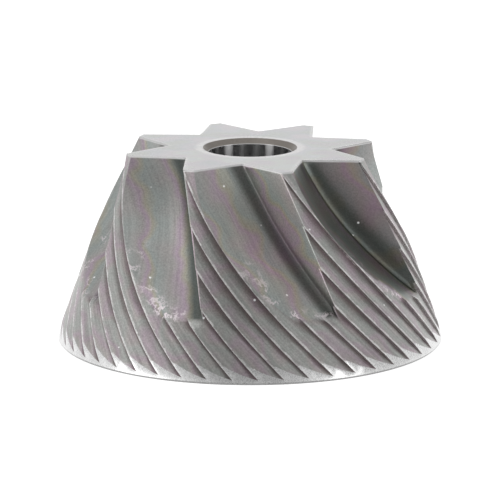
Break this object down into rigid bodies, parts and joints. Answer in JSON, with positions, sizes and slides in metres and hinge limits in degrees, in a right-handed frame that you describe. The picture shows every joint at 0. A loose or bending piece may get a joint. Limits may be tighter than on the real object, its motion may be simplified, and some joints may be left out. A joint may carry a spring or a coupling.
{
  "type": "conical coffee grinder burr",
  "caption": "Inner cone of a conical burr set: a steel cone on a through bore, with main flutes opening at the star-shaped top face and fine helical teeth down to the base.",
  "frame": {"origin": "centre of the flat base face, on the bore axis", "axes": "+Z along the bore towards the star-shaped top face; -Y is the side that faces the viewer in the picture"},
  "size_m": [0.071, 0.071, 0.0359],
  "materials": {
    "burr_steel": "satin ground, with lighter ground top face and polished bore"
  },
  "bodies": {
    "root": {"cone_burr": "burr_steel"}
  },
  "joints": []
}
